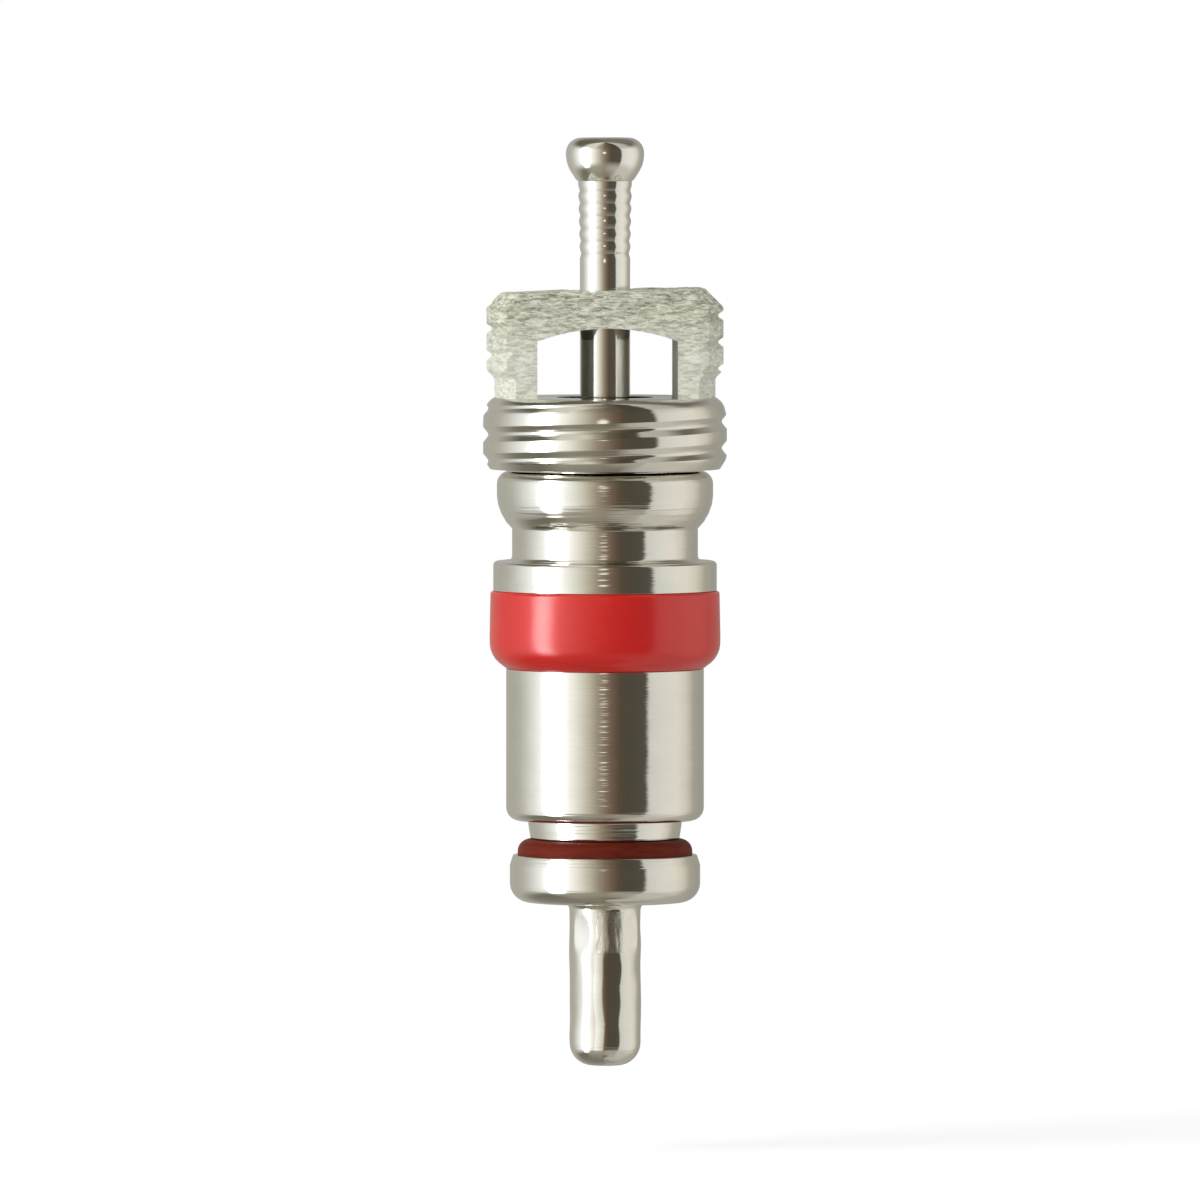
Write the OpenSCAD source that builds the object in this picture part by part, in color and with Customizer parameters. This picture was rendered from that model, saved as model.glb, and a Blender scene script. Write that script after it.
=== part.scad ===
// Tyre valve core: a small spring-loaded valve that screws into the stem of a tyre.
// Its axis is Z with the pin's head on top, and z = 0 is the middle of the threaded ring.
// All sizes are in millimetres.

/* [Screw plug] */
// Outside diameter of the thread
thread_d = 5.3; // [5.1:0.05:5.8]
// Height of the threaded ring
ring_h = 1.56; // [1.3:0.02:2.2]
// Chamfer at both ends of the threaded ring
ring_chamfer = 0.24; // [0.1:0.01:0.35]
// Outside diameter of the yoke
yoke_d = 5.15; // [4.9:0.05:5.3]
// Height of the yoke above the threaded ring
yoke_h = 2.38; // [2:0.02:2.8]
// Thickness of the yoke from front to back
yoke_t = 2.7; // [2:0.05:3]
// Chamfer on the outer corners of the yoke
yoke_chamfer = 0.42; // [0.2:0.01:0.6]
// Diameter of the plain relief at the foot of the yoke's arms
relief_d = 4.8; // [4.5:0.05:4.9]
// Height of that relief
relief_h = 0.42; // [0.2:0.01:0.6]
// Width of the window between the arms
window_w = 3.05; // [2.6:0.05:3.3]
// Thickness of the crossbar at its middle
crossbar_t = 0.86; // [0.5:0.02:1]
// Rise of the arch under the crossbar
arch_rise = 0.28; // [0.15:0.01:0.4]
// Diameter of the air bore through the plug
plug_bore_d = 2.1; // [1.6:0.05:2.4]
// Wall of the spigot that carries the swivel flange
spigot_wall = 0.45; // [0.3:0.01:0.6]
// Width of the swivel flange around the spigot
swivel_w = 0.4; // [0.3:0.01:0.55]
// Height of the swivel flange
swivel_h = 0.4; // [0.3:0.01:0.6]

/* [Barrel] */
// Wall of the rolled head around the swivel flange
head_wall = 0.4; // [0.3:0.01:0.5]
// Thickness of the lip that is rolled in over the swivel flange
lip_t = 0.3; // [0.2:0.01:0.45]
// Thickness of the head below the swivel flange
head_floor_t = 0.47; // [0.3:0.01:0.7]
// Rounding of the head's top edge
head_round = 0.28; // [0.1:0.01:0.35]
// Diameter of the spring chamber
chamber_d = 2.9; // [2.6:0.05:3.2]
// Wall of the neck
neck_wall = 0.57; // [0.5:0.01:0.65]
// Height of the neck
neck_h = 0.71; // [0.4:0.01:1]
// How far the flange stands out from the neck
flange_w = 0.41; // [0.25:0.01:0.5]
// Height of the flange
flange_h = 0.65; // [0.5:0.01:1]
// Rounding of the flange's upper edge
flange_round = 0.1; // [0.04:0.01:0.2]
// Wall under the gasket's groove
groove_wall = 0.4; // [0.3:0.01:0.5]
// Wall of the lower body
body_wall = 0.7; // [0.55:0.01:0.8]
// Height of the lower body
body_h = 3.31; // [3:0.01:4]
// Rounding of the lower body's bottom edge
body_round = 0.28; // [0.1:0.01:0.35]
// Thickness of the floor under the spring
floor_t = 0.86; // [0.6:0.01:1.2]
// Diameter of the air hole through the seat nose
seat_bore_d = 2; // [1.7:0.05:2.2]
// Wall of the seat nose
nose_wall = 0.65; // [0.5:0.01:0.7]
// Height of the seat nose
nose_h = 0.4; // [0.25:0.01:0.5]
// Rounding of the seat nose
nose_round = 0.12; // [0.05:0.01:0.18]

/* [Barrel gasket] */
// Thickness of the gasket in its groove
gasket_wall = 0.66; // [0.5:0.01:0.8]
// Height of the gasket
gasket_h = 1.68; // [1.3:0.02:2]
// Height of the gasket's straight upper band
gasket_band_h = 1; // [0.6:0.02:1.2]
// How far the gasket's lower edge draws in
gasket_taper = 0.36; // [0.15:0.01:0.45]

/* [Pin] */
// Diameter of the pin
pin_d = 1.09; // [0.95:0.01:1.2]
// Diameter of the pin's head
pin_head_d = 1.7; // [1.4:0.02:1.9]
// Height of the pin's head
pin_head_h = 1.01; // [0.85:0.01:1.2]
// Rounding of the head's top edge
pin_head_round = 0.34; // [0.2:0.02:0.4]
// Height of the straight band on the head
pin_head_band = 0.16; // [0.08:0.01:0.24]
// Height of the bare pin between the yoke and the head
pin_stand = 2.25; // [2.05:0.01:2.6]
// Number of fine grooves below the head
groove_count = 6; // [3:1:7]
// Distance between the fine grooves
groove_pitch = 0.274; // [0.2:0.002:0.3]
// Depth of the fine grooves
groove_depth = 0.04; // [0.02:0.005:0.06]
// How far the rolled grooves swell the pin under its head
groove_swell = 0.04; // [0:0.005:0.05]

/* [Return spring] */
// Diameter of the spring's wire
wire_d = 0.3; // [0.22:0.01:0.34]
// Number of turns, the closed ones included
spring_turns = 6; // [5:1:7]
// Number of closed turns at each end
closed_turns = 1; // [1:1:2]
// Length of the spring as it sits in the closed valve
spring_h = 4; // [3.7:0.05:4.3]
// Width of the collar around the pin
collar_w = 0.7; // [0.62:0.01:0.8]
// Height of the collar
collar_h = 0.5; // [0.3:0.02:0.7]

/* [Seat cup] */
// How far the washer reaches past the seat nose
washer_margin = 0.25; // [0.15:0.01:0.35]
// How far the washer stands above the cup's rim
washer_proud = 0.34; // [0.2:0.01:0.45]
// Depth of the cup
cup_depth = 0.78; // [0.5:0.01:1]
// Wall of the cup
cup_wall = 0.17; // [0.14:0.01:0.25]
// Thickness of the cup's floor
cup_floor_t = 0.25; // [0.18:0.01:0.35]
// Rounding of the cup's bottom edge
cup_round = 0.5; // [0.25:0.01:0.55]
// Height of the bevelled band at the cup's rim
rim_h = 0.3; // [0.15:0.01:0.4]
// How far the rim is bevelled in
rim_bevel = 0.04; // [0.02:0.005:0.08]
// Wall of the tail sleeve
tail_wall = 0.23; // [0.18:0.01:0.3]
// Length of the tail sleeve below the cup
tail_h = 3.56; // [3:0.05:4]
// Thickness of the tail's closed end
tail_end_t = 0.35; // [0.3:0.01:0.6]
// Rounding of the tail's end
tail_round = 0.5; // [0.35:0.01:0.65]
// Fillet between the cup and the tail
tail_fillet = 0.18; // [0.1:0.01:0.3]
// Length of the crimped stretch
crimp_h = 0.84; // [0.6:0.02:1.2]
// Distance from the cup's bottom to the crimp
crimp_drop = 0.24; // [0.15:0.01:0.4]
// Depth of the crimp
crimp_depth = 0.06; // [0.03:0.005:0.09]
// Number of crimp dents around the tail
crimp_count = 4; // [2:1:6]

/* [Clearances] */
// Radial clearance of what turns or slides
run_clear = 0.05; // [0.02:0.01:0.08]
// Play along the axis in the swivel
swivel_play = 0.04; // [0.02:0.01:0.08]
// Radial clearance between the spring and its chamber
spring_clear = 0.1; // [0.05:0.01:0.15]
// Gap between faces that meet when the valve is closed
seat_gap = 0.01; // [0.005:0.005:0.03]
// Gap between the spring's closed turns
closed_gap = 0.03; // [0.02:0.01:0.06]

/* [Hidden] */

$fn = 96;
arc_steps = 10;
wire_sides = 8;
wire_steps = 24;
over = 0.2;

// Radii of the screw plug
thread_r = thread_d / 2;
yoke_r = yoke_d / 2;
relief_r = relief_d / 2;
plug_bore_r = plug_bore_d / 2;
spigot_r = plug_bore_r + spigot_wall;
swivel_r = spigot_r + swivel_w;

// Radii of the barrel and its gasket
lip_r = spigot_r + run_clear;
cavity_r = swivel_r + run_clear;
head_r = cavity_r + head_wall;
chamber_r = chamber_d / 2;
neck_r = chamber_r + neck_wall;
flange_r = neck_r + flange_w;
groove_r = chamber_r + groove_wall;
gasket_r = groove_r + gasket_wall;
body_r = chamber_r + body_wall;
seat_bore_r = seat_bore_d / 2;
nose_r = seat_bore_r + nose_wall;

// Radii of the pin and of what it carries
pin_r = pin_d / 2;
pin_head_r = pin_head_d / 2;
collar_r = pin_r + collar_w;
wire_r = wire_d / 2;
coil_r = chamber_r - spring_clear - wire_r;
washer_r = nose_r + washer_margin;
cup_r = washer_r + cup_wall;
tail_r = pin_r + tail_wall;

// Heights, from the yoke's top down to the tail's end
ring_top = ring_h / 2;
ring_bottom = -ring_h / 2;
yoke_top = ring_top + yoke_h;
arch_top = yoke_top - crossbar_t;
arch_r = (window_w * window_w / 4 + arch_rise * arch_rise) / (2 * arch_rise);
lip_top = ring_bottom - swivel_play;
cavity_top = lip_top - lip_t;
swivel_top = cavity_top - swivel_play;
swivel_bottom = swivel_top - swivel_h;
cavity_bottom = swivel_bottom - swivel_play;
neck_top = cavity_bottom - head_floor_t;
flange_top = neck_top - neck_h;
flange_bottom = flange_top - flange_h;
gasket_bottom = flange_bottom - gasket_h;
body_bottom = gasket_bottom - body_h;
nose_bottom = body_bottom - nose_h;
spring_bottom = body_bottom + floor_t;
collar_bottom = spring_bottom + spring_h + seat_gap;
washer_top = nose_bottom - seat_gap;
rim_top = washer_top - washer_proud;
cup_floor = rim_top - cup_depth;
cup_bottom = cup_floor - cup_floor_t;
tail_bottom = cup_bottom - tail_h;
pin_bottom = tail_bottom + tail_end_t;
crimp_mid = cup_bottom - crimp_drop - crimp_h / 2;
head_under = yoke_top + pin_stand;
groove_end = head_under - groove_count * groove_pitch;
pin_top = head_under + pin_head_h;

// Points of an arc about [x, z] from angle a0 to angle a1
function arc(x, z, r, a0, a1) =
    [for (i = [0:arc_steps]) let (a = a0 + (a1 - a0) * i / arc_steps) [x + r * cos(a), z + r * sin(a)]];

// Points of a curve that leaves [r0, z0] straight down and draws in to [r1, z1]
function draw_in(r0, z0, r1, z1) =
    let (turn = 2 * atan((r0 - r1) / (z0 - z1)), r = (z0 - z1) / sin(turn)) arc(r0 - r, z0, r, 0, -turn);

// A hole down the axis
module bore(r, z0, z1) {
    translate([0, 0, z0]) cylinder(r = r, h = z1 - z0);
}

// The window between the arms, seen from the front, with its arched top
module window_outline() {
    intersection() {
        translate([-window_w / 2, ring_top]) square([window_w, yoke_h]);
        translate([0, arch_top - arch_r]) circle(r = arch_r);
    }
}

// The yoke: two arms and a crossbar, left when a turned blank is milled flat and slotted
module yoke() {
    difference() {
        intersection() {
            rotate_extrude() polygon([
                [0, 0], [relief_r, 0], [relief_r, ring_top + relief_h],
                [yoke_r, ring_top + relief_h + yoke_r - relief_r],
                [yoke_r, yoke_top - yoke_chamfer], [yoke_r - yoke_chamfer, yoke_top], [0, yoke_top]]);
            translate([-yoke_r, -yoke_t / 2, 0]) cube([yoke_d, yoke_t, yoke_top]);
        }
        translate([0, yoke_t, 0]) rotate([90, 0, 0]) linear_extrude(2 * yoke_t) window_outline();
    }
}

// The threaded ring with the spigot and swivel flange below it
module ring_and_spigot() {
    rotate_extrude() polygon([
        [0, ring_top], [thread_r - ring_chamfer, ring_top], [thread_r, ring_top - ring_chamfer],
        [thread_r, ring_bottom + ring_chamfer], [thread_r - ring_chamfer, ring_bottom],
        [spigot_r, ring_bottom], [spigot_r, swivel_top], [swivel_r, swivel_top],
        [swivel_r, swivel_bottom], [0, swivel_bottom]]);
}

module screw_plug() {
    color([0.8, 0.8, 0.75]) difference() {
        union() {
            yoke();
            ring_and_spigot();
        }
        bore(plug_bore_r, swivel_bottom - over, ring_top);
        bore(pin_r + run_clear, ring_top - over, yoke_top + over);
    }
}

// Outside of the barrel, from the rolled head down to the seat nose
module barrel_outside() {
    rotate_extrude() polygon(concat(
        [[0, lip_top]],
        arc(head_r - head_round, lip_top - head_round, head_round, 90, 0),
        draw_in(head_r, (swivel_top + swivel_bottom) / 2, neck_r, neck_top),
        [[neck_r, flange_top]],
        arc(flange_r - flange_round, flange_top - flange_round, flange_round, 90, 0),
        [[flange_r, flange_bottom], [groove_r, flange_bottom], [groove_r, gasket_bottom],
         [body_r, gasket_bottom]],
        arc(body_r - body_round, body_bottom + body_round, body_round, 0, -90),
        [[nose_r, body_bottom]],
        arc(nose_r - nose_round, nose_bottom + nose_round, nose_round, 0, -90),
        [[0, nose_bottom]]));
}

module barrel() {
    color([0.82, 0.8, 0.76]) difference() {
        barrel_outside();
        bore(lip_r, cavity_top - over, lip_top + over);
        bore(cavity_r, cavity_bottom, cavity_top);
        bore(chamber_r, spring_bottom, cavity_bottom + over);
        bore(seat_bore_r, nose_bottom - over, spring_bottom + over);
    }
}

module barrel_gasket() {
    color([0.82, 0.13, 0.1]) rotate_extrude() polygon(concat(
        [[groove_r, flange_bottom], [gasket_r, flange_bottom]],
        draw_in(gasket_r, flange_bottom - gasket_band_h, gasket_r - gasket_taper, gasket_bottom),
        [[groove_r, gasket_bottom]]));
}

module valve_pin() {
    color([0.83, 0.8, 0.77]) difference() {
        rotate_extrude() polygon(concat(
            [[0, pin_top]],
            arc(pin_head_r - pin_head_round, pin_top - pin_head_round, pin_head_round, 90, 0),
            draw_in(pin_head_r, pin_top - pin_head_round - pin_head_band, pin_r + groove_swell, head_under),
            [[pin_r, groove_end], [pin_r, pin_bottom], [0, pin_bottom]]));
        for (i = [0.5:groove_count])
            rotate_extrude() translate([pin_r + groove_swell * (1 - i / groove_count) + groove_depth,
                head_under - groove_pitch * i]) circle(r = 2 * groove_depth, $fn = 24);
    }
}

// Height of the wire's middle after t turns: closed turns at both ends, open turns between
closed_rise = wire_d + closed_gap;
open_turns = spring_turns - 2 * closed_turns;
open_rise = (spring_h - wire_d - 2 * closed_turns * closed_rise) / open_turns;
function wire_z(t) = let (opened = max(0, min(open_turns, t - closed_turns)))
    wire_r + open_rise * opened + closed_rise * (t - opened);

// One ring of points around the wire after t turns
function wire_ring(t) = [for (j = [0:wire_sides - 1]) let (a = 360 * t, b = 360 * j / wire_sides,
    r = coil_r + wire_r * cos(b)) [r * cos(a), r * sin(a), spring_bottom + wire_z(t) + wire_r * sin(b)]];

module return_spring() {
    rings = spring_turns * wire_steps;
    points = [for (i = [0:rings]) each wire_ring(i / wire_steps)];
    sides = [for (i = [0:rings - 1]) for (j = [0:wire_sides - 1]) let (k = (j + 1) % wire_sides)
        [i * wire_sides + j, i * wire_sides + k, (i + 1) * wire_sides + k, (i + 1) * wire_sides + j]];
    start = [for (j = [wire_sides - 1:-1:0]) j];
    end = [for (j = [0:wire_sides - 1]) rings * wire_sides + j];
    color([0.6, 0.6, 0.6]) polyhedron(points, concat([start], sides, [end]), convexity = 10);
}

module spring_collar() {
    color([0.75, 0.65, 0.4]) difference() {
        bore(collar_r, collar_bottom, collar_bottom + collar_h);
        bore(pin_r, collar_bottom - over, collar_bottom + collar_h + over);
    }
}

module seat_washer() {
    color([0.42, 0.12, 0.09]) difference() {
        bore(washer_r, cup_floor, washer_top);
        bore(pin_r, cup_floor - over, washer_top + over);
    }
}

// The cup and its tail sleeve, drawn from one piece and crimped to the pin's end
module seat_cup() {
    color([0.82, 0.8, 0.76]) difference() {
        rotate_extrude() polygon(concat(
            [[0, rim_top], [cup_r - rim_bevel, rim_top], [cup_r, rim_top - rim_h]],
            arc(cup_r - cup_round, cup_bottom + cup_round, cup_round, 0, -90),
            arc(tail_r + tail_fillet, cup_bottom - tail_fillet, tail_fillet, 90, 180),
            arc(tail_r - tail_round, tail_bottom + tail_round, tail_round, 0, -90),
            [[0, tail_bottom]]));
        bore(washer_r, cup_floor, rim_top + over);
        bore(pin_r, pin_bottom, cup_floor + over);
        for (i = [0:crimp_count - 1]) crimp_dent(360 * (i + 0.5) / crimp_count);
    }
}

// A shallow dent pressed into the tail sleeve by a round-nosed crimping jaw
module crimp_dent(angle) {
    jaw_r = (crimp_h * crimp_h / 4 + crimp_depth * crimp_depth) / (2 * crimp_depth);
    rotate([0, 0, angle]) intersection() {
        translate([tail_r - crimp_depth + jaw_r, tail_r, crimp_mid])
            rotate([90, 0, 0]) cylinder(r = jaw_r, h = 2 * tail_r);
        translate([0, -tail_r, crimp_mid - crimp_h / 2]) cube([2 * tail_r, 2 * tail_r, crimp_h]);
    }
}

screw_plug();
barrel();
barrel_gasket();
valve_pin();
return_spring();
spring_collar();
seat_washer();
seat_cup();
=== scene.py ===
import math

import bmesh
import bpy
from mathutils import Matrix, Vector, noise


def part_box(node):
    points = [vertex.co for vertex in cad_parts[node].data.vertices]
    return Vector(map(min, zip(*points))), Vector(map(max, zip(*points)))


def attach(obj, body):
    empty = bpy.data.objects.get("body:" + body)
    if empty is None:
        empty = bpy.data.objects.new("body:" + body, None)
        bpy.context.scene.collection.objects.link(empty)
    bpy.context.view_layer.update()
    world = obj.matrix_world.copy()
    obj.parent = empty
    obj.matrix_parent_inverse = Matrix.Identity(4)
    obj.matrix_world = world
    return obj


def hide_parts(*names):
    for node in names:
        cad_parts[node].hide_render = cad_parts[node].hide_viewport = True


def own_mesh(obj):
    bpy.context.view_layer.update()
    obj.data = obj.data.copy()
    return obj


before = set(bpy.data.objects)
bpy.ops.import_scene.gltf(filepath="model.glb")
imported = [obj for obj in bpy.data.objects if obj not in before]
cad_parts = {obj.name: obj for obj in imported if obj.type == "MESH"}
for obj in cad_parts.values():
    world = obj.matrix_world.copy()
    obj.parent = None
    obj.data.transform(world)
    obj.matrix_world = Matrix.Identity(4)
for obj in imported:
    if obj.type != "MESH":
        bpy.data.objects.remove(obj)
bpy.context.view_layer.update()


# Camera: in front of the standing core, a little above it and a little to its left, through a long lens.
# The picture is 1200 pixels wide and shows 46 of them to the millimetre.
MM = 0.001
PICTURE_PX = 1200
PX_PER_MM = 46
camera_lift = math.radians(2.2)
camera_turn = math.radians(-2.5)
camera_distance = 400
aim = Vector((-0.109, 0, -3.63))

camera_data = bpy.data.cameras.new("studio_camera")
camera = bpy.data.objects.new("studio_camera", camera_data)
bpy.context.collection.objects.link(camera)
bpy.context.scene.camera = camera
camera_data.lens = camera_data.sensor_width * camera_distance * PX_PER_MM / PICTURE_PX


def toward(bearing, lift):
    """The direction at a bearing from the camera, positive to the right, and at a height above level."""
    turn = camera_turn + bearing
    return Vector((math.sin(turn) * math.cos(lift), -math.cos(turn) * math.cos(lift), math.sin(lift)))


camera.location = (aim + toward(0, camera_lift) * camera_distance) * MM
camera.rotation_euler = (math.pi / 2 - camera_lift, 0, camera_turn)
camera_data.clip_start = 0.01
camera_data.clip_end = 10
bpy.context.scene.view_settings.view_transform = "Standard"


def add_node(material, kind, settings=None, **sockets):
    """A shader node whose settings are properties and whose sockets take a value or another node's output."""
    node = material.node_tree.nodes.new(kind)
    for name, value in (settings or {}).items():
        setattr(node, name, value)
    for name, value in sockets.items():
        socket = node.inputs[int(name[1:])] if name[1:].isdigit() else node.inputs[name.replace("_", " ")]
        if isinstance(value, bpy.types.NodeSocket):
            material.node_tree.links.new(value, socket)
        else:
            socket.default_value = value
    return node


# Floor: a plain white table top, low enough under the tail's end for the pin to be pressed. It is white to
# the camera, also far back where less light falls on it, and keeps the core's shadow.
pin_travel = 1.8
floor_gap = 0.05
floor_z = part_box("seat_cup")[0].z - (pin_travel + floor_gap) * MM
floor_r = 0.25
glow_start = 0.05
glow_near = 0.42
glow_far = 0.49
floor_bm = bmesh.new()
bmesh.ops.create_circle(floor_bm, cap_ends=True, segments=64, radius=floor_r,
                        matrix=Matrix.Translation((0, 0, floor_z)))
floor_mesh = bpy.data.meshes.new("table_top")
floor_bm.to_mesh(floor_mesh)
floor_bm.free()
floor = bpy.data.objects.new("table_top", floor_mesh)
bpy.context.collection.objects.link(floor)
floor.visible_glossy = False

table_white = bpy.data.materials.new("table_white")
table_white.use_nodes = True
floor_mesh.materials.append(table_white)
table_white.node_tree.nodes.clear()
rays = add_node(table_white, "ShaderNodeLightPath")
matt_white = add_node(table_white, "ShaderNodeBsdfDiffuse", Color=(0.7, 0.7, 0.7, 1))
table_place = add_node(table_white, "ShaderNodeTexCoord")
from_core = add_node(table_white, "ShaderNodeVectorMath", {"operation": "LENGTH"},
                     i0=table_place.outputs["Object"])
even_out = add_node(table_white, "ShaderNodeMapRange", Value=from_core.outputs["Value"],
                    From_Min=glow_start, From_Max=floor_r, To_Min=glow_near, To_Max=glow_far)
glow = add_node(table_white, "ShaderNodeEmission", Strength=rays.outputs["Is Camera Ray"],
                Color=even_out.outputs[0])
both = add_node(table_white, "ShaderNodeAddShader", i0=matt_white.outputs[0], i1=glow.outputs[0])
add_node(table_white, "ShaderNodeOutputMaterial", Surface=both.outputs[0])


# Light: a soft box at the left, white walls all round, and a tent of cards that the bright metal shows in
# its reflections: white at the left, dark on the camera's side, grey at the right. The tent is seen in
# reflections alone.
room = bpy.data.worlds.new("white_room")
bpy.context.scene.world = room
room.use_nodes = True
room.node_tree.nodes.clear()
room_rays = add_node(room, "ShaderNodeLightPath")
seen = add_node(room, "ShaderNodeMath", {"operation": "MAXIMUM"},
                i0=room_rays.outputs["Is Camera Ray"], i1=room_rays.outputs["Is Glossy Ray"])
seen = add_node(room, "ShaderNodeMath", {"operation": "MAXIMUM"},
                i0=seen.outputs[0], i1=room_rays.outputs["Is Transmission Ray"])
ROOM_LEVEL = 0.7
level = add_node(room, "ShaderNodeMapRange", Value=seen.outputs[0], To_Min=ROOM_LEVEL, To_Max=1.0)
walls = add_node(room, "ShaderNodeBackground", Color=(1, 1, 1, 1), Strength=level.outputs[0])
add_node(room, "ShaderNodeOutputWorld", Surface=walls.outputs[0])

softbox_distance = 0.3
softbox_bearing = math.radians(-62)
softbox_lift = math.radians(24)
softbox_data = bpy.data.lights.new("soft_box", "AREA")
softbox_data.shape = "RECTANGLE"
softbox_data.size = 0.16
softbox_data.size_y = 0.22
softbox_data.energy = 0.42
softbox = bpy.data.objects.new("soft_box", softbox_data)
bpy.context.collection.objects.link(softbox)
toward_softbox = toward(softbox_bearing, softbox_lift)
softbox.location = toward_softbox * softbox_distance
softbox.rotation_euler = toward_softbox.to_track_quat("Z", "Y").to_euler()
softbox.visible_glossy = False

# The tent's colours by bearing in degrees from the camera, positive to the right: level with the core, where
# a bright strip stands at the left, then high up, low down and under the core
LEVEL_STOPS = (
    (-180, (0.44, 0.43, 0.40)), (-134, (0.49, 0.48, 0.42)), (-119, (0.54, 0.53, 0.48)),
    (-106, (0.68, 0.68, 0.64)), (-90, (0.95, 0.96, 0.94)), (-78, (1.20, 1.22, 1.22)),
    (-71, (8.0, 8.0, 8.0)), (-60, (8.0, 8.0, 8.0)), (-52, (1.60, 1.60, 1.60)),
    (-44, (1.20, 1.20, 1.17)), (-34, (0.97, 0.96, 0.89)), (-24, (0.72, 0.70, 0.59)),
    (-16, (0.54, 0.50, 0.40)), (-8, (0.36, 0.31, 0.23)), (0, (0.26, 0.20, 0.155)),
    (8, (0.18, 0.125, 0.092)), (17, (0.105, 0.078, 0.055)), (27, (0.088, 0.077, 0.057)),
    (49, (0.098, 0.088, 0.070)), (53, (0.74, 0.74, 0.69)), (68, (0.81, 0.80, 0.75)),
    (79, (0.85, 0.83, 0.77)), (94, (0.88, 0.84, 0.76)), (110, (0.74, 0.70, 0.62)),
    (126, (0.46, 0.43, 0.37)), (147, (0.38, 0.37, 0.33)),
)
HIGH_STOPS = (
    (-180, (0.20, 0.19, 0.16)), (-125, (0.12, 0.11, 0.085)), (-90, (0.16, 0.15, 0.115)),
    (-72, (0.74, 0.72, 0.64)), (-38, (0.76, 0.74, 0.64)), (-20, (0.40, 0.37, 0.29)),
    (0, (0.17, 0.145, 0.10)), (25, (0.075, 0.065, 0.045)), (48, (0.08, 0.072, 0.055)),
    (52, (0.55, 0.53, 0.47)), (84, (0.50, 0.475, 0.415)), (104, (0.16, 0.15, 0.12)),
    (140, (0.20, 0.19, 0.16)),
)
LOW_STOPS = (
    (-180, (0.36, 0.34, 0.29)), (-125, (0.22, 0.205, 0.165)), (-90, (0.18, 0.17, 0.13)),
    (-60, (0.36, 0.34, 0.27)), (-30, (0.37, 0.34, 0.265)), (0, (0.32, 0.29, 0.225)),
    (15, (0.40, 0.375, 0.31)), (48, (0.46, 0.44, 0.38)), (53, (0.60, 0.58, 0.52)),
    (100, (0.62, 0.59, 0.52)), (130, (0.46, 0.44, 0.38)),
)
# Under the core the tent is mostly darker: painted shade of the table beneath it, seen in reflections
UNDER_STOPS = (
    (-180, (0.20, 0.19, 0.16)), (-60, (0.27, 0.26, 0.22)), (-10, (0.22, 0.205, 0.16)),
    (25, (0.16, 0.145, 0.11)), (50, (0.44, 0.42, 0.36)), (100, (0.58, 0.56, 0.50)),
    (140, (0.30, 0.29, 0.25)),
)
# Where each of the other colours begins and is full, as a share of the tent's height
ZONES = ((HIGH_STOPS, 0.4, 0.65), (LOW_STOPS, -0.4, -0.65), (UNDER_STOPS, -0.8, -0.96))
TENT_BRIGHTEST = 8.0
tent_r = 0.3
tent_bm = bmesh.new()
bmesh.ops.create_uvsphere(tent_bm, u_segments=96, v_segments=48, radius=tent_r)
tent_mesh = bpy.data.meshes.new("card_tent")
tent_bm.to_mesh(tent_mesh)
tent_bm.free()
tent = bpy.data.objects.new("card_tent", tent_mesh)
bpy.context.collection.objects.link(tent)
tent.visible_camera = False
tent.visible_diffuse = False
tent.visible_transmission = False
tent.visible_volume_scatter = False
tent.visible_shadow = False

tent_paint = bpy.data.materials.new("tent_paint")
tent_paint.use_nodes = True
tent_mesh.materials.append(tent_paint)
tent_paint.node_tree.nodes.clear()
place = add_node(tent_paint, "ShaderNodeTexCoord")
faced = add_node(tent_paint, "ShaderNodeMapping", {"vector_type": "POINT"}, Vector=place.outputs["Object"],
                 Rotation=(0, 0, camera_turn), Scale=(1 / tent_r, -1 / tent_r, 1 / tent_r))
across = add_node(tent_paint, "ShaderNodeSeparateXYZ", Vector=faced.outputs[0])
bearing = add_node(tent_paint, "ShaderNodeMath", {"operation": "ARCTAN2"},
                   i0=across.outputs["X"], i1=across.outputs["Y"])
turn = add_node(tent_paint, "ShaderNodeMapRange", Value=bearing.outputs[0],
                From_Min=-math.pi, From_Max=math.pi)


def by_bearing(stops):
    """A colour ramp round the tent."""
    ramp = add_node(tent_paint, "ShaderNodeValToRGB", Fac=turn.outputs[0])
    elements = ramp.color_ramp.elements
    elements.remove(elements[1])
    for number, (degrees, colour) in enumerate(stops):
        position = degrees / 360 + 0.5
        element = elements[0] if number == 0 else elements.new(position)
        element.position = position
        element.color = [channel / TENT_BRIGHTEST for channel in colour] + [1]
    return ramp.outputs["Color"]


cards = by_bearing(LEVEL_STOPS)
for stops, begins, full in ZONES:
    share = add_node(tent_paint, "ShaderNodeMapRange", Value=across.outputs["Z"],
                     From_Min=begins, From_Max=full)
    cards = add_node(tent_paint, "ShaderNodeMix", {"data_type": "RGBA"}, i0=share.outputs[0], i6=cards,
                     i7=by_bearing(stops)).outputs[2]
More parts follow.
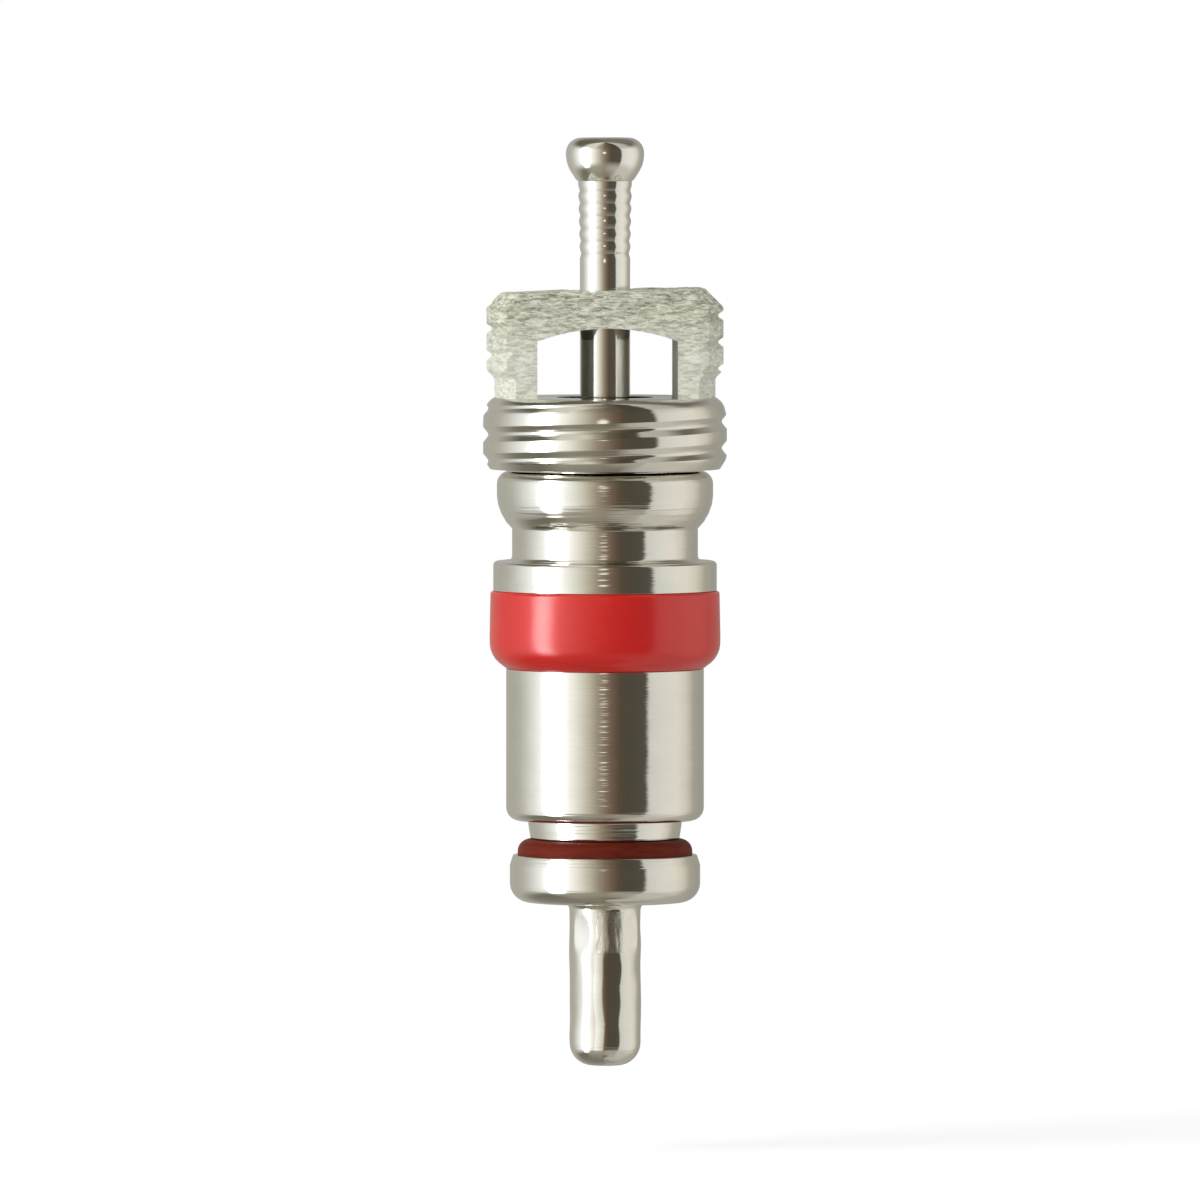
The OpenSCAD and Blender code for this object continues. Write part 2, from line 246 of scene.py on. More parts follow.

# A small soft lamp painted on the tent beside the camera, a little above it and seen in reflections alone,
# which the turning marks catch as a row of glints
lamp_bearing = math.radians(-2)
lamp_lift = math.radians(9)
lamp_core = 0.03
lamp_edge = 0.13
lamp_level = 1.2 / TENT_BRIGHTEST
LAMP_TINT = (1, 0.95, 0.82)
lamp_toward = (math.sin(lamp_bearing) * math.cos(lamp_lift), math.cos(lamp_bearing) * math.cos(lamp_lift),
               math.sin(lamp_lift))
from_lamp = add_node(tent_paint, "ShaderNodeVectorMath", {"operation": "DISTANCE"},
                     i0=faced.outputs[0], i1=lamp_toward)
lamp_spot = add_node(tent_paint, "ShaderNodeMapRange", {"interpolation_type": "SMOOTHSTEP"},
                     Value=from_lamp.outputs["Value"], From_Min=lamp_core, From_Max=lamp_edge,
                     To_Min=1, To_Max=0)
lit = add_node(tent_paint, "ShaderNodeMix", {"data_type": "RGBA"}, i0=lamp_spot.outputs[0], i6=cards,
               i7=(*(lamp_level * channel for channel in LAMP_TINT), 1))
tent_glow = add_node(tent_paint, "ShaderNodeEmission", Color=lit.outputs[2], Strength=TENT_BRIGHTEST)
add_node(tent_paint, "ShaderNodeOutputMaterial", Surface=tent_glow.outputs[0])


# Screw plug: a brass blank turned on a lathe, threaded, milled flat on two sides and slotted to leave a yoke,
# then nickel plated. Its spigot ends in a flange that the barrel's head is rolled over.
# Sizes are in millimetres from here on.
BEND_STEP = 0.2
ROW_H = 0.14
TURN_STEPS = 160
MERGE_DIST = 1e-4


def section_corners(bm, corners, ring):
    """A half section in the plane y = 0. Each corner is a radius, a height and a rounding."""
    verts = [bm.verts.new((r, 0, z)) for r, z, _ in corners]
    pairs = list(zip(verts, verts[1:]))
    if ring:
        pairs.append((verts[-1], verts[0]))
    for a, b in pairs:
        bm.edges.new((a, b))
    inner = range(len(verts)) if ring else range(1, len(verts) - 1)
    for i in inner:
        radius = corners[i][2]
        if radius:
            before = corners[i - 1]
            after = corners[(i + 1) % len(corners)]
            came_from = verts[i - 1].co if verts[i - 1].is_valid else Vector((before[0], 0, before[1]))
            came = verts[i].co - came_from
            goes = Vector((after[0], 0, after[1])) - verts[i].co
            bend = came.angle(goes)
            bmesh.ops.bevel(bm, geom=[verts[i]], offset=radius * math.tan(bend / 2), offset_type="OFFSET",
                            affect="VERTICES", segments=max(2, round(bend / BEND_STEP)), profile=0.5,
                            material=-1)


def turned(corners, row_h=ROW_H, steps=TURN_STEPS):
    """A lathe-turned solid. A section that starts and ends on the axis is solid, any other is a ring."""
    bm = bmesh.new()
    section_corners(bm, corners, ring=corners[0][0] > 0)
    for edge in bm.edges[:]:
        cuts = math.ceil(edge.calc_length() / row_h) - 1
        if cuts > 0:
            bmesh.ops.subdivide_edges(bm, edges=[edge], cuts=cuts)
    bmesh.ops.spin(bm, geom=bm.verts[:] + bm.edges[:], axis=(0, 0, 1), cent=(0, 0, 0), angle=math.tau,
                   steps=steps, use_merge=True)
    close_up(bm)
    return bm


def close_up(bm):
    """Merges the seam and poles and turns the faces outwards."""
    bmesh.ops.remove_doubles(bm, verts=bm.verts, dist=MERGE_DIST)
    bmesh.ops.recalc_face_normals(bm, faces=bm.faces)


def solid_object(bm, name, *finishes):
    """A mesh object, still in millimetres, with its finishes in order."""
    mesh = bpy.data.meshes.new(name)
    bm.to_mesh(mesh)
    bm.free()
    for finish in finishes:
        mesh.materials.append(finish)
    made = bpy.data.objects.new(name, mesh)
    bpy.context.collection.objects.link(made)
    return made


def machine(work, tool, operation):
    """Cuts work with tool, or keeps what they share, and removes the tool. New faces get its finish."""
    cut = work.modifiers.new("cut", "BOOLEAN")
    cut.object = tool
    cut.operation = operation
    cut.solver = "EXACT"
    cut.material_mode = "TRANSFER"
    shaped = bpy.data.meshes.new_from_object(work.evaluated_get(bpy.context.evaluated_depsgraph_get()))
    work.modifiers.clear()
    work.data = shaped
    bpy.data.objects.remove(tool)


def fit(piece, node, body, sharp=math.radians(32)):
    """Brings a piece from millimetres to metres, shades it and puts it in the place of its node."""
    piece.data.transform(Matrix.Scale(MM, 4))
    piece.data.shade_smooth()
    piece.data.set_sharp_from_angle(angle=sharp)
    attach(piece, body)
    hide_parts(node)


def plain_finish(name, colour, metallic, roughness):
    """A new material with one even colour, metalness and roughness, and its shader and object coordinates."""
    material = bpy.data.materials.new(name)
    material.use_nodes = True
    shader = material.node_tree.nodes["Principled BSDF"]
    shader.inputs["Base Color"].default_value = (*colour, 1)
    shader.inputs["Metallic"].default_value = metallic
    shader.inputs["Roughness"].default_value = roughness
    place = add_node(material, "ShaderNodeTexCoord").outputs["Object"]
    return material, shader, place


def grain(material, place, size, **sockets):
    """Noise whose patches measure size along x, y and z, in millimetres."""
    scale = tuple(1 / (length * MM) for length in size)
    stretched = add_node(material, "ShaderNodeMapping", {"vector_type": "POINT"}, Vector=place, Scale=scale)
    patches = add_node(material, "ShaderNodeTexNoise", Vector=stretched.outputs[0], Scale=1.0, **sockets)
    return patches.outputs["Fac"]


def spread(material, value, low, high, start=0.3, end=0.7):
    """Maps noise between start and end to low and high."""
    return add_node(material, "ShaderNodeMapRange", Value=value, From_Min=start, From_Max=end,
                    To_Min=low, To_Max=high).outputs[0]


def tint(material, value, low, high):
    """Blends from colour low to colour high."""
    blend = add_node(material, "ShaderNodeMix", {"data_type": "RGBA"}, i0=value, i6=(*low, 1), i7=(*high, 1))
    return blend.outputs[2]


def raise_marks(material, shader, heights):
    """Lays bumps on a shader, each a noise and its depth in millimetres."""
    normal = None
    for value, depth in heights:
        bump = add_node(material, "ShaderNodeBump", Height=value, Distance=depth * MM, Strength=1.0)
        if normal:
            material.node_tree.links.new(normal, bump.inputs["Normal"])
        normal = bump.outputs[0]
    material.node_tree.links.new(normal, shader.inputs["Normal"])


WAVE_DEPTH = 0.005
DULLER = 0.95


def nickel_plate(name, colour, mark_depth):
    """Bright nickel plate over fine turning marks that run round the axis."""
    material, shader, place = plain_finish(name, colour, metallic=1.0, roughness=0.1)
    patches = grain(material, place, size=(0.9, 0.9, 0.5), Detail=3.0)
    rings = grain(material, place, size=(2.2, 2.2, 0.09), Detail=2.0, Roughness=0.6)
    waves = grain(material, place, size=(1.1, 1.1, 0.4), Detail=2.0)
    duller = tuple(channel * DULLER for channel in colour)
    links = material.node_tree.links
    links.new(tint(material, spread(material, patches, 0, 1), duller, colour), shader.inputs["Base Color"])
    links.new(spread(material, patches, low=0.12, high=0.06), shader.inputs["Roughness"])
    raise_marks(material, shader, ((rings, mark_depth), (waves, WAVE_DEPTH)))
    return material


NICKEL = (0.82, 0.805, 0.755)
plug_nickel = nickel_plate("plug_nickel", NICKEL, mark_depth=0.004)

# The yoke's worked faces: torn and matt, with pale and dark streaks across, and paler towards the ring
pale_start = 2.7
pale_full = 1.7
streak_depth = 0.03
speck_depth = 0.012
milled_matt, milled_shader, milled_place = plain_finish("milled_matt", (0.7, 0.7, 0.6), metallic=0.1,
                                                        roughness=0.45)
streaks = grain(milled_matt, milled_place, size=(0.24, 0.24, 0.06), Detail=6.0, Roughness=0.75,
                Distortion=0.6)
specks = grain(milled_matt, milled_place, size=(0.12, 0.1, 0.05), Detail=3.0, Roughness=0.7)
heights = add_node(milled_matt, "ShaderNodeSeparateXYZ", Vector=milled_place).outputs["Z"]
paler = spread(milled_matt, heights, 0, 1, start=pale_start * MM, end=pale_full * MM)
darkest = tint(milled_matt, paler, (0.22, 0.22, 0.145), (0.56, 0.56, 0.45))
palest = tint(milled_matt, paler, (0.92, 0.92, 0.76), (1.0, 1.0, 0.89))
streak_tone = add_node(milled_matt, "ShaderNodeMix", {"data_type": "RGBA"}, i6=darkest, i7=palest,
                       i0=spread(milled_matt, streaks, 0, 1, start=0.37, end=0.60))
milled_links = milled_matt.node_tree.links
milled_links.new(streak_tone.outputs[2], milled_shader.inputs["Base Color"])
milled_links.new(spread(milled_matt, specks, low=0.32, high=0.55), milled_shader.inputs["Roughness"])
raise_marks(milled_matt, milled_shader, ((streaks, streak_depth), (specks, speck_depth)))

plug_lo, plug_hi = (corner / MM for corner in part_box("screw_plug"))
thread_r = plug_hi.x
yoke_top = plug_hi.z
swivel_bottom = plug_lo.z
ring_half = 0.78
ring_chamfer = 0.24
ring_bevel = 0.15
crown_in = 0.08
crown_start = 0.36
crown_knee = 0.66
yoke_r = 2.575
yoke_half_t = 1.35
yoke_chamfer = 0.42
relief_r = 2.4
relief_top = 1.2
window_half = 1.525
arch_top = 2.3
arch_rise = 0.28
plug_bore_r = 1.05
pin_hole_r = 0.595
spigot_r = 1.5
swivel_r = 1.9
swivel_top = -1.16

# The turned blank: swivel flange, spigot, ring, relief and the round the yoke is milled from
blank_bm = turned((
    (plug_bore_r, swivel_bottom, 0), (swivel_r, swivel_bottom, 0.04), (swivel_r, swivel_top, 0.04),
    (spigot_r, swivel_top, 0), (spigot_r, -ring_half, 0), (thread_r - ring_bevel, -ring_half, 0.03),
    (thread_r, ring_chamfer - ring_half, 0.3), (thread_r, crown_start, 0.8),
    (thread_r - crown_in, crown_knee, 0.3), (thread_r - ring_chamfer, ring_half, 0.03),
    (relief_r, ring_half, 0.06), (relief_r, relief_top, 0.1),
    (yoke_r, relief_top + yoke_r - relief_r, 0.06), (yoke_r, yoke_top - yoke_chamfer, 0.08),
    (yoke_r - yoke_chamfer, yoke_top, 0.08), (pin_hole_r, yoke_top, 0.03), (pin_hole_r, ring_half, 0),
    (plug_bore_r, ring_half, 0)))
for face in blank_bm.faces:
    face.material_index = int(face.calc_center_median().z > ring_half)
blank = solid_object(blank_bm, "screw_plug_yoke", plug_nickel, milled_matt)

# The thread: a row of ridges swept up a helix, so that each turn runs into the next. On the yoke its roots
# are deeper than on the ring. The rod is turned by part of a step, so that none of its edges lies on one of
# the blank's.
thread_pitch = 0.576
thread_depth = 0.11
crest_flat = 0.22
root_flat = 0.06
thread_turns = 12
crest_on_left = 0.26
crest_over = 0.01
crest_bevel = 0.025
seam_dist = 1e-3
trim_over = 0.1
yoke_root = 0.08
yoke_root_start = ring_half + 0.1
part_step = 0.43
flank = (thread_pitch - crest_flat - root_flat) / 2
thread_bm = bmesh.new()
ridge = []
first_crest = crest_on_left + thread_pitch / 2 - thread_turns / 2 * thread_pitch
for number in range(thread_turns):
    z = first_crest + number * thread_pitch
    for r, rise in ((thread_r - thread_depth, -crest_flat / 2 - flank),
                    (thread_r + crest_over, -crest_flat / 2), (thread_r + crest_over, crest_flat / 2),
                    (thread_r - thread_depth, crest_flat / 2 + flank)):
        ridge.append(thread_bm.verts.new((r, 0, z + rise)))
for a, b in zip(ridge, ridge[1:]):
    thread_bm.edges.new((a, b))
bmesh.ops.bevel(thread_bm, geom=ridge[1:-1], offset=crest_bevel, offset_type="OFFSET", affect="VERTICES",
                segments=3, profile=0.5, material=-1)
bmesh.ops.spin(thread_bm, geom=thread_bm.verts[:] + thread_bm.edges[:], axis=(0, 0, 1), cent=(0, 0, 0),
               dvec=(0, 0, thread_pitch / TURN_STEPS), angle=math.tau, steps=TURN_STEPS)
bmesh.ops.remove_doubles(thread_bm, verts=thread_bm.verts, dist=seam_dist)
for z, side in ((swivel_bottom - trim_over, -1), (yoke_top + trim_over, 1)):
    all_geom = thread_bm.verts[:] + thread_bm.edges[:] + thread_bm.faces[:]
    trim = bmesh.ops.bisect_plane(thread_bm, geom=all_geom, plane_co=(0, 0, z), plane_no=(0, 0, side),
                                  clear_outer=True)
    rim = [edge for edge in trim["geom_cut"] if isinstance(edge, bmesh.types.BMEdge)]
    bmesh.ops.holes_fill(thread_bm, edges=rim, sides=0)
close_up(thread_bm)
for vert in thread_bm.verts:
    if vert.co.z > yoke_root_start:
        r = math.hypot(vert.co.x, vert.co.y)
        root_share = max(0, thread_r - r) / thread_depth
        shrink = 1 - yoke_root * root_share / r
        vert.co.x *= shrink
        vert.co.y *= shrink
off_step = Matrix.Rotation(part_step * math.tau / TURN_STEPS, 3, "Z")
bmesh.ops.rotate(thread_bm, cent=(0, 0, 0), matrix=off_step, verts=thread_bm.verts)
for face in thread_bm.faces:
    face.material_index = int(face.calc_center_median().z > ring_half)
machine(blank, solid_object(thread_bm, "thread_rod", plug_nickel, milled_matt), "INTERSECT")


# How strong and how fine each layer of the tearing is
TEAR_LAYERS = ((1, 1), (0.5, 2.3), (0.25, 5.1))


def torn(point, seed, depth, size):
    """How far a cutter has torn the metal at a point, as streaks of that size."""
    streak = Vector((point[0] / size[0], point[1] / size[1], seed))
    return depth * sum(strength * noise.noise(streak * fineness) for strength, fineness in TEAR_LAYERS)


# Two milling cuts leave the yoke's flats, and a saw cut its top, which is lower on the left. Each is a block
# whose inner face is torn along x, with a place, a depth of tearing and a seed.
cut_half = 3.2
cut_h = 2.8
cut_depth = 2.0
upright = Matrix.Rotation(math.pi / 2, 4, "X")
cut_middle = ring_half + cut_h / 2
top_slant = math.radians(-1.3)
top_drop = 0.07
fade_h = 0.5
flat_tear = 0.02
top_tear = 0.03
TEAR_SIZE = (0.7, 0.11)
front_place = Matrix.Translation((0, -yoke_half_t, cut_middle)) @ upright
back_place = Matrix.Translation((0, yoke_half_t, cut_middle)) @ Matrix.Rotation(math.pi, 4, "Z") @ upright
top_place = Matrix.Translation((0, 0, yoke_top - top_drop)) @ Matrix.Rotation(top_slant, 4, "Y")
CUTS = ((front_place, flat_tear, 3.1), (back_place, flat_tear, 7.3), (top_place, top_tear, 5.7))
for cut_place, tear, seed in CUTS:
    block = bmesh.new()
    inner_face = bmesh.ops.create_grid(block, x_segments=96, y_segments=72, size=0.5)["verts"]
    bmesh.ops.scale(block, vec=(2 * cut_half, cut_h, 1), verts=inner_face)
    for vert in inner_face:
        fade = min(1, (vert.co.y + cut_h / 2) / fade_h)
        vert.co.z = fade * torn(vert.co, seed, tear, TEAR_SIZE)
    rim = [edge for edge in block.edges if edge.is_boundary]
    back = bmesh.ops.extrude_edge_only(block, edges=rim)["geom"]
    for part in back:
        if isinstance(part, bmesh.types.BMVert):
            part.co.z = cut_depth
    back_edges = [part for part in back if isinstance(part, bmesh.types.BMEdge)]
    bmesh.ops.holes_fill(block, edges=back_edges, sides=0)
    bmesh.ops.transform(block, matrix=cut_place, verts=block.verts)
    close_up(block)
    machine(blank, solid_object(block, "torn_cut", milled_matt), "DIFFERENCE")

# A slot through the middle leaves the window, with an arch on top. Its sides are dull, and their darker
# colour is painted shade inside the window; its floor is bright.
dull_shaded_slot_nickel = plain_finish("dull_shaded_slot_nickel", (0.42, 0.41, 0.36), metallic=1.0, roughness=0.6)[0]
window_reach = 3
facing_down = -0.9
arch_r = (window_half ** 2 + arch_rise ** 2) / (2 * arch_rise)
arch_angle = math.asin(window_half / arch_r)
window = bmesh.new()
shoulder = window.verts.new((-window_half, -window_reach, arch_top - arch_rise))
bmesh.ops.spin(window, geom=[shoulder], axis=(0, 1, 0), cent=(0, -window_reach, arch_top - arch_r),
               angle=2 * arch_angle, steps=24)
window.verts.ensure_lookup_table()
ends = [vert for vert in window.verts if len(vert.link_edges) == 1]
feet = [window.verts.new((vert.co.x, -window_reach, ring_half)) for vert in ends]
for end, foot in zip(ends, feet):
    window.edges.new((end, foot))
window.edges.new(feet)
bmesh.ops.holes_fill(window, edges=window.edges[:], sides=0)
through = bmesh.ops.extrude_face_region(window, geom=window.faces[:])["geom"]
far_verts = [part for part in through if isinstance(part, bmesh.types.BMVert)]
bmesh.ops.translate(window, vec=(0, 2 * window_reach, 0), verts=far_verts)
close_up(window)
for face in window.faces:
    face.material_index = int(face.normal.z < facing_down)
machine(blank, solid_object(window, "window_cut", dull_shaded_slot_nickel, plug_nickel), "DIFFERENCE")
fit(blank, "screw_plug", "plug")


# Barrel: one brass turning, nickel plated: the head rolled in over the plug's flange, the neck, the flange
# over the gasket, the gasket's groove, the lower body with the spring chamber in it, and the nose that is
# the seat.
barrel_lo, barrel_hi = (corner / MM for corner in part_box("barrel"))
lip_top = barrel_hi.z
nose_bottom = barrel_lo.z
flange_r = barrel_hi.x
gasket_lo, gasket_hi = (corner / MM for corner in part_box("barrel_gasket"))
lip_r = 1.55
head_r = 2.35
head_waist = -1.792
cavity_r = 1.95
cavity_top = -1.12
cavity_bottom = -1.6
chamber_r = 1.45
neck_r = 2.02
neck_top = -2.07
flange_top = -2.78
groove_r = 1.85
body_r = 2.15
body_bottom = -8.42
chamber_floor = -7.56
seat_bore_r = 1.0
nose_r = 1.65
nose_taper = 0.03
barrel_nickel = nickel_plate("barrel_nickel", NICKEL, mark_depth=0.015)
barrel = solid_object(turned((
    (lip_r, lip_top, 0.05), (head_r, lip_top, 0.28), (head_r, head_waist, 0.92), (neck_r, neck_top, 0.06),
    (neck_r, flange_top, 0.12), (flange_r, flange_top, 0.09), (flange_r, gasket_hi.z, 0.03),
    (groove_r, gasket_hi.z, 0), (groove_r, gasket_lo.z, 0), (body_r, gasket_lo.z, 0.03),
    (body_r, body_bottom, 0.28), (nose_r + nose_taper, body_bottom, 0),
    (nose_r - nose_taper, nose_bottom, 0.03),
    (seat_bore_r, nose_bottom, 0.05), (seat_bore_r, chamber_floor, 0.03), (chamber_r, chamber_floor, 0.05),
    (chamber_r, cavity_bottom, 0.03), (cavity_r, cavity_bottom, 0.05), (cavity_r, cavity_top, 0.05),
    (lip_r, cavity_top, 0.05))), "barrel_turning", barrel_nickel)
fit(barrel, "barrel", "barrel")


# Gasket: a moulded ring of red fluoroplastic pressed into the barrel's groove, drawn in at its lower edge
# where it meets the stem's seat.
gasket_r = gasket_hi.x
gasket_taper = 0.36
gasket_foot = gasket_r - gasket_taper
gasket_knee = -4.84
gasket_top_in = 0.02
gasket_knee_in = 0.01
gasket_band = 1.0
red_ring_depth = 0.0008
red_cloud_depth = 0.012
red_plastic, red_shader, red_place = plain_finish("red_plastic", (0.68, 0.014, 0.010), metallic=0.0,
                                                  roughness=0.2)
red_shader.inputs["Specular IOR Level"].default_value = 0.8
red_rings = grain(red_plastic, red_place, size=(1.6, 1.6, 0.06), Detail=3.0)
red_clouds = grain(red_plastic, red_place, size=(1.2, 1.2, 0.8), Detail=2.0)
red_links = red_plastic.node_tree.links
red_tone = tint(red_plastic, spread(red_plastic, red_clouds, 0, 1), (0.64, 0.0062, 0.0042),
                (0.70, 0.0083, 0.0055))
red_links.new(red_tone, red_shader.inputs["Base Color"])
red_links.new(spread(red_plastic, red_rings, low=0.21, high=0.25), red_shader.inputs["Roughness"])
raise_marks(red_plastic, red_shader, ((red_rings, red_ring_depth), (red_clouds, red_cloud_depth)))
gasket = solid_object(turned((
    (groove_r, gasket_hi.z, 0), (gasket_r - gasket_top_in, gasket_hi.z, 0.07),
    (gasket_r, gasket_hi.z - gasket_band, 0), (gasket_r - gasket_knee_in, gasket_knee, 0.5),
    (gasket_foot, gasket_lo.z, 0.04), (groove_r, gasket_lo.z, 0))), "red_gasket_ring", red_plastic)
fit(gasket, "barrel_gasket", "barrel")


# Valve pin: drawn brass wire, nickel plated, with a head upset on its end and fine grooves rolled in below
# it. Its lower end sits in the seat cup's tail.
pin_lo, pin_hi = (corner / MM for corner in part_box("valve_pin"))
pin_r = 0.545
head_under = 5.41
head_belly = 5.85
throat_top = head_under + 0.09
throat_bottom = head_under + 0.07
throat_swell = 0.08
pin_head_r = pin_hi.x
groove_pitch = 0.274
groove_depth = 0.032
groove_half = 0.11
groove_count = 6
groove_swell = 0.04
groove_run_out = 0.12
PIN_NICKEL = (0.89, 0.875, 0.835)
pin_nickel = nickel_plate("pin_nickel", PIN_NICKEL, mark_depth=0.001)
pin_corners = [(0, pin_hi.z, 0), (pin_head_r, pin_hi.z, 0.33), (pin_head_r, head_belly, 0.6),
               (pin_r + throat_swell, throat_top, 0.05), (pin_r + groove_swell, throat_bottom, 0)]
for number in range(groove_count):
    groove_z = head_under - groove_pitch * (number + 0.5)
    crest = pin_r + groove_swell * (1 - (number + 0.5) / groove_count)
    pin_corners += [(crest, groove_z + groove_half, 0), (crest - groove_depth, groove_z, 0),
                    (crest, groove_z - groove_half, 0)]
pin_corners += [(pin_r, pin_corners[-1][1] - groove_run_out, 0), (pin_r, pin_lo.z, 0.03), (0, pin_lo.z, 0)]
pin = solid_object(turned(pin_corners, steps=96), "headed_pin", pin_nickel)
fit(pin, "valve_pin", "pin")


# Return spring: stainless wire, coiled with a closed turn at each end. It stands on the chamber's floor.
spring_lo, spring_hi = (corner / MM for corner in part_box("return_spring"))
wire_r = 0.15
coil_r = spring_hi.x - wire_r
open_turns = 4
coil_gap = 0.03
closed_rise = 2 * wire_r + coil_gap
open_rise = (spring_hi.z - spring_lo.z - 2 * wire_r - 2 * closed_rise) / open_turns
COIL_STEPS = 64
line_depth = 0.002
wire_steel, wire_shader, wire_place = plain_finish("wire_steel", (0.58, 0.57, 0.56), metallic=1.0,
                                                   roughness=0.24)
drawn_lines = grain(wire_steel, wire_place, size=(0.3, 0.3, 0.05), Detail=3.0)
wire_steel.node_tree.links.new(spread(wire_steel, drawn_lines, low=0.18, high=0.34),
                               wire_shader.inputs["Roughness"])
raise_marks(wire_steel, wire_shader, ((drawn_lines, line_depth),))
spring_bm = bmesh.new()
wire_end = Matrix.Translation((coil_r, 0, spring_lo.z + wire_r)) @ upright
bmesh.ops.create_circle(spring_bm, segments=14, radius=wire_r, matrix=wire_end)
bmesh.ops.contextual_create(spring_bm, geom=spring_bm.edges[:])
end_geom = spring_bm.verts[:] + spring_bm.edges[:]
for turns, rise in ((1, closed_rise), (open_turns, open_rise), (1, closed_rise)):
    coil = bmesh.ops.spin(spring_bm, geom=end_geom, axis=(0, 0, 1), cent=(0, 0, 0), angle=math.tau * turns,
                          dvec=(0, 0, rise / COIL_STEPS), steps=turns * COIL_STEPS)
    end_geom = coil["geom_last"]
end_edges = [part for part in end_geom if isinstance(part, bmesh.types.BMEdge)]
bmesh.ops.contextual_create(spring_bm, geom=end_edges)
close_up(spring_bm)
spring = solid_object(spring_bm, "coiled_spring", wire_steel)
fit(spring, "return_spring", "barrel")
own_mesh(spring)


# Spring collar: a plain turned brass ring fixed on the pin, which the spring pushes up.
collar_lo, collar_hi = (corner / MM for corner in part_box("spring_collar"))
turned_brass = nickel_plate("turned_brass", (0.72, 0.52, 0.24), mark_depth=0.003)
collar = solid_object(turned((
    (pin_r, collar_lo.z, 0), (collar_hi.x, collar_lo.z, 0.06), (collar_hi.x, collar_hi.z, 0.06),
    (pin_r, collar_hi.z, 0))), "collar_ring", turned_brass)
fit(collar, "spring_collar", "pin")


# Seat washer: a ring of dark red rubber, punched from sheet, that sits in the cup and closes on the nose.
washer_lo, washer_hi = (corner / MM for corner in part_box("seat_washer"))
washer_rubber, rubber_shader, rubber_place = plain_finish("washer_rubber", (0.15, 0.02, 0.011),
                                                          metallic=0.0, roughness=0.5)
rubber_shader.inputs["Specular IOR Level"].default_value = 0.1
rubber_clouds = grain(washer_rubber, rubber_place, size=(0.5, 0.5, 0.1), Detail=3.0)
rubber_tone = tint(washer_rubber, spread(washer_rubber, rubber_clouds, 0, 1), (0.11, 0.012, 0.005),
                   (0.18, 0.021, 0.008))
washer_rubber.node_tree.links.new(rubber_tone, rubber_shader.inputs["Base Color"])
washer = solid_object(turned((
    (pin_r, washer_lo.z, 0), (washer_hi.x, washer_lo.z, 0.03), (washer_hi.x, washer_hi.z, 0.26),
    (pin_r, washer_hi.z, 0))), "rubber_washer", washer_rubber)
fit(washer, "seat_washer", "pin")


# Seat cup: drawn from sheet brass with its tail in one piece, nickel plated. The tail is crimped on the pin,
# which has flattened it a little under the cup and raised a crooked fold down its front.
cup_lo, cup_hi = (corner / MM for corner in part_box("seat_cup"))
rim_top = cup_hi.z
tail_bottom = cup_lo.z
cup_r = cup_hi.x
cup_wall_r = washer_hi.x
cup_floor = washer_lo.z
cup_sheet = 0.25
cup_bottom = cup_floor - cup_sheet
rim_h = 0.22
rim_bevel = 0.07
tail_r = 0.775
tail_skin = pin_r + 0.05
tail_top = cup_bottom - 0.15
axis_r = 0.001
crimp_middle = -10.86
crimp_half = 0.42
crimp_depth = 0.035
crimp_count = 4
crimp_squareness = 4
fold_bearing = -0.1
fold_shift = 0.16
fold_start = -11.24
fold_height = 0.024
fold_half = 0.2
fold_step = 0.1
fold_fade = 0.5
fold_wander = 0.08
wander_rate = 1.7
wander_seed = 3.7
dent_depth = 0.02
dent_rate = 2.0
dent_rate_z = 1.9
scuff_left = -0.3
scuff_right = 0.5
scuff_top = cup_bottom - 0.2
scuff_depth = 0.012
cup_nickel = nickel_plate("cup_nickel", NICKEL, mark_depth=0.01)
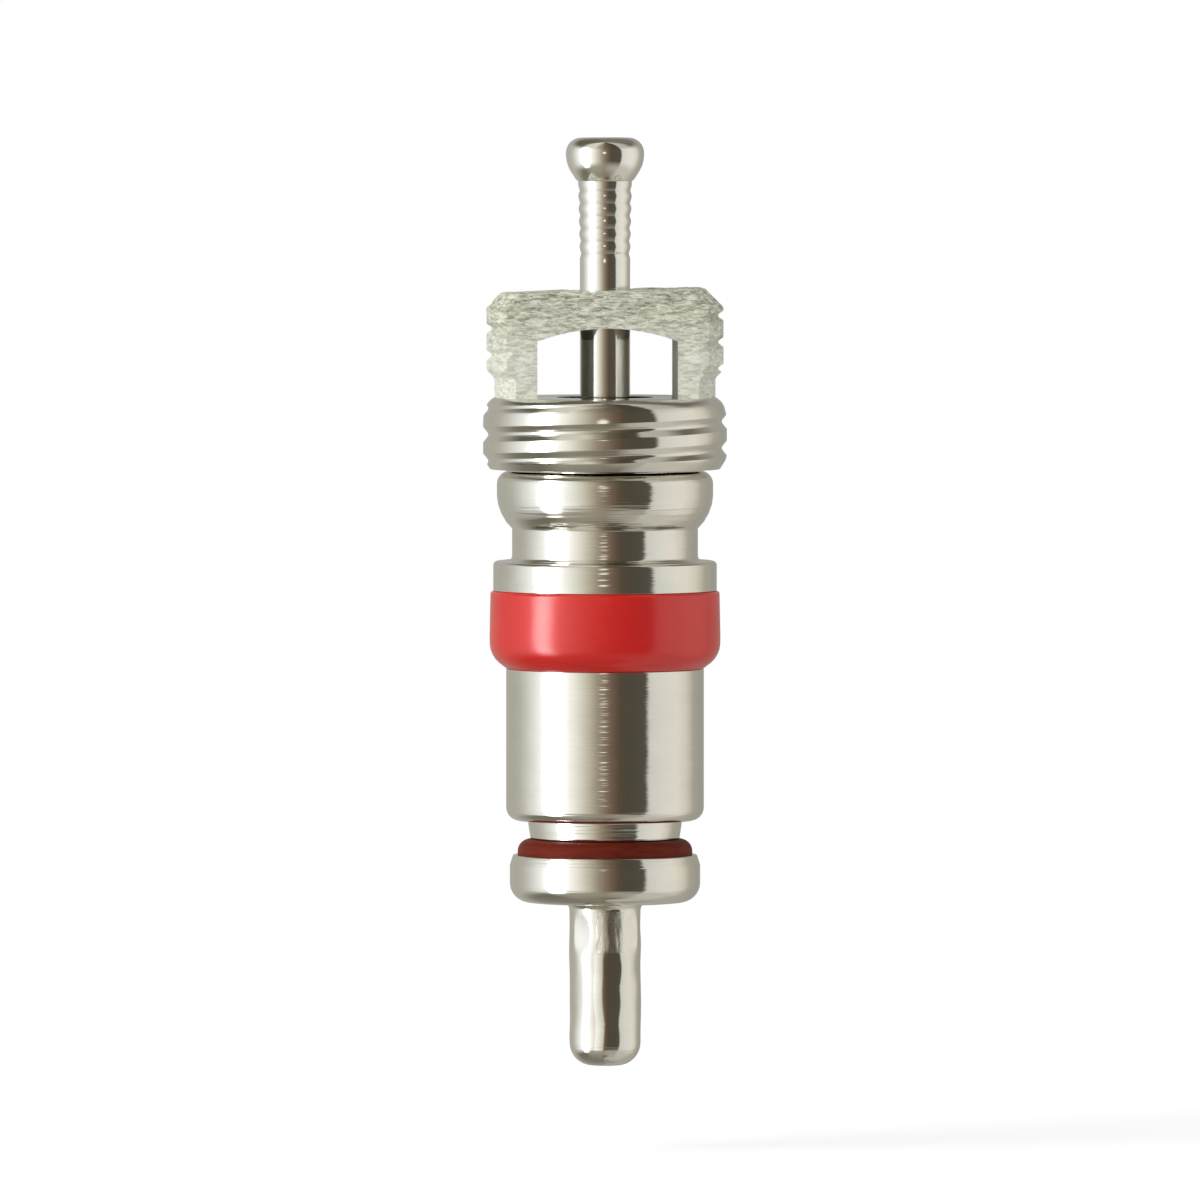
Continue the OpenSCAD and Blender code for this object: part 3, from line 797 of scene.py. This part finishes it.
cup_bm = turned((
    (cup_wall_r, rim_top, 0.02), (cup_r - rim_bevel, rim_top, 0.03), (cup_r, rim_top - rim_h, 0.03),
    (cup_r, cup_bottom, 0.42), (tail_r, cup_bottom, 0.18), (tail_r, tail_bottom, 0.5),
    (axis_r, tail_bottom, 0), (axis_r, pin_lo.z, 0), (pin_r, pin_lo.z, 0), (pin_r, cup_floor, 0.03),
    (cup_wall_r, cup_floor, 0.05)), row_h=0.07, steps=288)
for vert in cup_bm.verts:
    r = math.hypot(vert.co.x, vert.co.y)
    if r > tail_skin and vert.co.z < tail_top:
        from_front = math.atan2(vert.co.x, -vert.co.y)
        along = (vert.co.z - crimp_middle) / crimp_half
        flat = tail_r - crimp_depth * max(0, 1 - along ** crimp_squareness)
        from_dent = (from_front % (math.tau / crimp_count)) - math.pi / crimp_count
        above = min(1, max(0, (vert.co.z - fold_start) / fold_step + 0.5))
        wander = fold_wander * noise.noise(Vector((vert.co.z * wander_rate, wander_seed, 0)))
        ridge_at = fold_bearing + fold_shift * above + wander
        from_fold = abs(from_front - ridge_at) * tail_r / fold_half
        fold = fold_height * (1 - fold_fade * above) * max(0, 1 - from_fold)
        dent_at = Vector((vert.co.x * dent_rate, vert.co.y * dent_rate, vert.co.z * dent_rate_z))
        dents = dent_depth * noise.noise(dent_at)
        shrink = (min(r, flat / math.cos(from_dent)) + fold + dents) / r
        vert.co.x *= shrink
        vert.co.y *= shrink
scuffed_nickel, scuffed_shader, scuffed_place = plain_finish("scuffed_nickel", NICKEL, metallic=1.0,
                                                             roughness=0.3)
scuffs = grain(scuffed_nickel, scuffed_place, size=(0.12, 0.12, 0.3), Detail=4.0)
scuffed_nickel.node_tree.links.new(spread(scuffed_nickel, scuffs, low=0.22, high=0.36),
                                   scuffed_shader.inputs["Roughness"])
raise_marks(scuffed_nickel, scuffed_shader, ((scuffs, scuff_depth),))
for face in cup_bm.faces:
    middle = face.calc_center_median()
    in_front = scuff_left < math.atan2(middle.x, -middle.y) < scuff_right
    face.material_index = int(in_front and fold_start < middle.z < scuff_top)
cup = solid_object(cup_bm, "drawn_cup", cup_nickel, scuffed_nickel)
fit(cup, "seat_cup", "pin")
